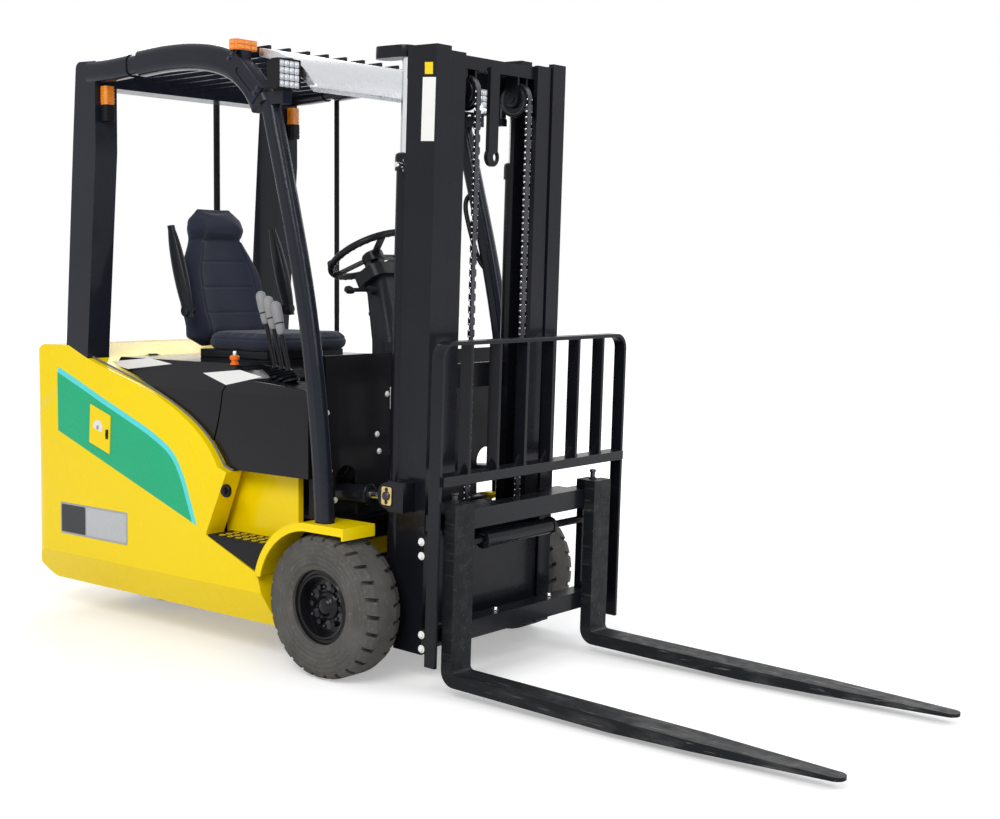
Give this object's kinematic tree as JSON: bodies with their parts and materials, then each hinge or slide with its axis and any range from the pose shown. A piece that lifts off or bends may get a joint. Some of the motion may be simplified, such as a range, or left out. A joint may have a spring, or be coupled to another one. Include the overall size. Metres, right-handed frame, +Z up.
{
  "type": "three-wheel electric counterbalance forklift",
  "caption": "Three-wheel electric counterbalance forklift, yellow body, dark overhead guard, two-stage mast lowered, forks and load backrest.",
  "frame": {"origin": "floor point under the middle of the overall length and width", "axes": "+X forward along the forks, +Y to the left, +Z up"},
  "size_m": [3.2501, 1.052, 2.0382],
  "materials": {
    "body_yellow": "satin",
    "frame_black": "satin",
    "guard_paint": "satin",
    "beam_silver": "gloss",
    "moulded_black": "gloss",
    "seat_cloth": "matte",
    "lamp_clear": "gloss",
    "lamp_amber": "gloss",
    "lever_grey": "satin",
    "battery_case": "satin",
    "tyre_rubber": "matte",
    "rim_black": "gloss",
    "rod_chrome": "gloss",
    "chain_steel": "satin",
    "fork_steel": "satin"
  },
  "bodies": {
    "truck": {"body_shell": "body_yellow", "side_panels": "body_yellow", "front_fenders": "body_yellow", "steps": "frame_black", "front_frame": "frame_black", "drive_unit": "frame_black", "guard_posts": "frame_black", "roof_slats": "frame_black", "guard_frame": "guard_paint", "guard_beam": "beam_silver", "lever_console": "moulded_black", "column_cover": "moulded_black", "work_lamps": "lamp_clear", "amber_lamps": "lamp_amber", "control_levers": "lever_grey", "battery": "battery_case"},
    "hood_lid": {"hood": "moulded_black", "seat_base": "moulded_black", "seat_cushion": "seat_cloth", "seat_back": "seat_cloth", "armrests": "moulded_black"},
    "steer_column_wheel": {"steering_wheel": "moulded_black"},
    "latch_door": {"charge_door": "body_yellow"},
    "wheel_front_left": {"front_tyre_left": "tyre_rubber", "front_rim_left": "rim_black"},
    "wheel_front_right": {"front_tyre_right": "tyre_rubber", "front_rim_right": "rim_black"},
    "steer_bogie": {"steer_knuckle": "frame_black"},
    "wheels_rear": {"rear_tyres": "tyre_rubber", "rear_rims": "rim_black"},
    "mast_outer": {"outer_mast": "guard_paint", "lift_barrels": "guard_paint"},
    "mast_inner": {"inner_mast": "guard_paint", "lift_rods": "rod_chrome", "chain_sheaves": "chain_steel", "lift_chains": "chain_steel"},
    "lift_carriage": {"carriage": "guard_paint", "shift_cylinder": "guard_paint"},
    "fork_carrier": {"side_shifter": "guard_paint", "backrest": "guard_paint", "forks": "fork_steel"},
    "tilt_barrel_r": {"tilt_barrel_right": "guard_paint"},
    "tilt_rod_r": {"tilt_rod_right": "rod_chrome"},
    "tilt_barrel_l": {"tilt_barrel_left": "guard_paint"},
    "tilt_rod_l": {"tilt_rod_left": "rod_chrome"}
  },
  "joints": [
    {"name": "front_left_spin", "type": "hinge", "parent": "truck", "child": "wheel_front_left", "pos_m": [-0.0591, 0.4475, 0.2285], "axis": [0, 1, 0], "continuous": true},
    {"name": "front_right_spin", "type": "hinge", "parent": "truck", "child": "wheel_front_right", "pos_m": [-0.0591, -0.4475, 0.2285], "axis": [0, 1, 0], "continuous": true},
    {"name": "steer", "type": "hinge", "parent": "truck", "child": "steer_bogie", "pos_m": [-1.3291, 0, 0.43], "axis": [0, 0, 1], "range_deg": [-90, 90]},
    {"name": "rear_spin", "type": "hinge", "parent": "steer_bogie", "child": "wheels_rear", "pos_m": [-1.3291, 0, 0.1925], "axis": [0, 1, 0], "continuous": true},
    {"name": "steering_wheel_turn", "type": "hinge", "parent": "truck", "child": "steer_column_wheel", "pos_m": [-0.3221, 0, 1.331], "axis": [-0.5, 0, 0.866], "continuous": true},
    {"name": "hood_lift", "type": "hinge", "parent": "truck", "child": "hood_lid", "pos_m": [-1.2091, 0, 0.956], "axis": [0, -1, 0], "range_deg": [0, 60]},
    {"name": "latch_door_open", "type": "hinge", "parent": "truck", "child": "latch_door", "pos_m": [-1.2491, -0.514, 0.707], "axis": [0, 0, 1], "range_deg": [-110, 0]},
    {"name": "mast_tilt", "type": "hinge", "parent": "truck", "child": "mast_outer", "pos_m": [0.0309, 0, 0.17], "axis": [0, 1, 0], "range_deg": [-6, 0.5]},
    {"name": "mast_lift", "type": "slide", "parent": "mast_outer", "child": "mast_inner", "axis": [0.0314, 0, 0.9995], "range_m": [0, 1.3]},
    {"name": "carriage_lift", "type": "slide", "parent": "mast_inner", "child": "lift_carriage", "axis": [0.0314, 0, 0.9995], "range_m": [0, 1.3]},
    {"name": "side_shift", "type": "slide", "parent": "lift_carriage", "child": "fork_carrier", "axis": [0, 1, 0], "range_m": [-0.136, 0.064]},
    {"name": "tilt_barrel_right_swing", "type": "hinge", "parent": "truck", "child": "tilt_barrel_r", "pos_m": [-0.2091, -0.352, 0.56], "axis": [0, 1, 0], "range_deg": [-2, 2]},
    {"name": "tilt_rod_right_slide", "type": "slide", "parent": "tilt_barrel_r", "child": "tilt_rod_r", "axis": [0.9984, 0, 0.0566], "range_m": [-0.06, 0.01]},
    {"name": "tilt_barrel_left_swing", "type": "hinge", "parent": "truck", "child": "tilt_barrel_l", "pos_m": [-0.2091, 0.352, 0.56], "axis": [0, 1, 0], "range_deg": [-2, 2]},
    {"name": "tilt_rod_left_slide", "type": "slide", "parent": "tilt_barrel_l", "child": "tilt_rod_l", "axis": [0.9984, 0, 0.0566], "range_m": [-0.06, 0.01]}
  ],
  "couplings": [
    {"joint": "carriage_lift", "follows": "mast_lift", "ratio": 1},
    {"joint": "tilt_barrel_right_swing", "follows": "mast_tilt", "ratio": 0.2392},
    {"joint": "tilt_rod_right_slide", "follows": "mast_tilt", "m_per_rad": 0.40578},
    {"joint": "tilt_barrel_left_swing", "follows": "mast_tilt", "ratio": 0.2392},
    {"joint": "tilt_rod_left_slide", "follows": "mast_tilt", "m_per_rad": 0.40578}
  ]
}
